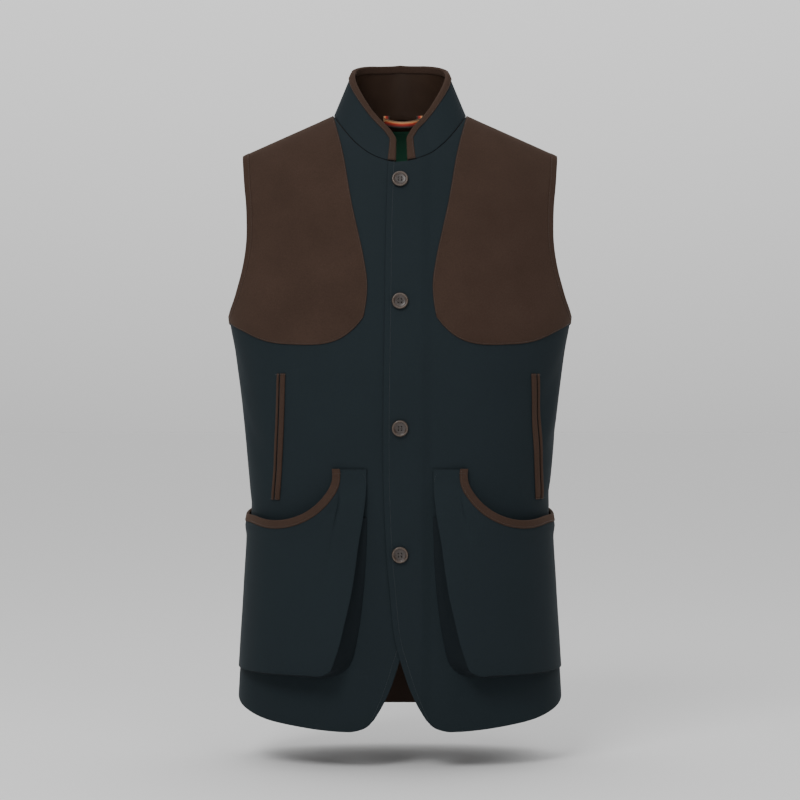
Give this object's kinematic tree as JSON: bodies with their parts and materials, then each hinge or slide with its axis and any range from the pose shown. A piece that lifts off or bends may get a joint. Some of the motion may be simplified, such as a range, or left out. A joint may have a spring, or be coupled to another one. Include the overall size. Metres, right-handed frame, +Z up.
{
  "type": "gilet",
  "caption": "Stand-collar field gilet in dark cloth with suede chest patches, bound armholes, bellows pockets, slit hand pockets and a buttoned front, filled out as worn.",
  "frame": {"origin": "midway between the two points where the shoulder seams meet the neck seam", "axes": "+Z up, +Y towards the wearer's back, +X towards the wearer's left"},
  "size_m": [0.4404, 0.2607, 0.8455],
  "materials": {
    "field_cloth": "matt dark navy wool cloth",
    "brown_suede": "napped brown suede",
    "brown_lining": "smooth dark brown lining",
    "horn": "polished brown horn",
    "label_cloth": "woven green label, bare",
    "striped_tape": "woven striped tape"
  },
  "bodies": {
    "root": {"front_left": "field_cloth", "front_right": "field_cloth", "back": "field_cloth", "collar_outer": "field_cloth", "pocket_face_left": "field_cloth", "pocket_face_right": "field_cloth", "pocket_gusset_left": "field_cloth", "pocket_gusset_right": "field_cloth", "shooting_patch_left": "brown_suede", "shooting_patch_right": "brown_suede", "armhole_binding_left": "brown_suede", "armhole_binding_right": "brown_suede", "collar_binding": "brown_suede", "pocket_binding_left": "brown_suede", "pocket_binding_right": "brown_suede", "hand_pocket_inner_lip_left": "brown_suede", "hand_pocket_inner_lip_right": "brown_suede", "hand_pocket_outer_lip_left": "brown_suede", "hand_pocket_outer_lip_right": "brown_suede", "back_lining": "brown_lining", "collar_facing": "brown_lining", "button_1": "horn", "button_2": "horn", "button_3": "horn", "button_4": "horn", "neck_label": "label_cloth", "hanger_loop": "striped_tape"}
  },
  "joints": []
}
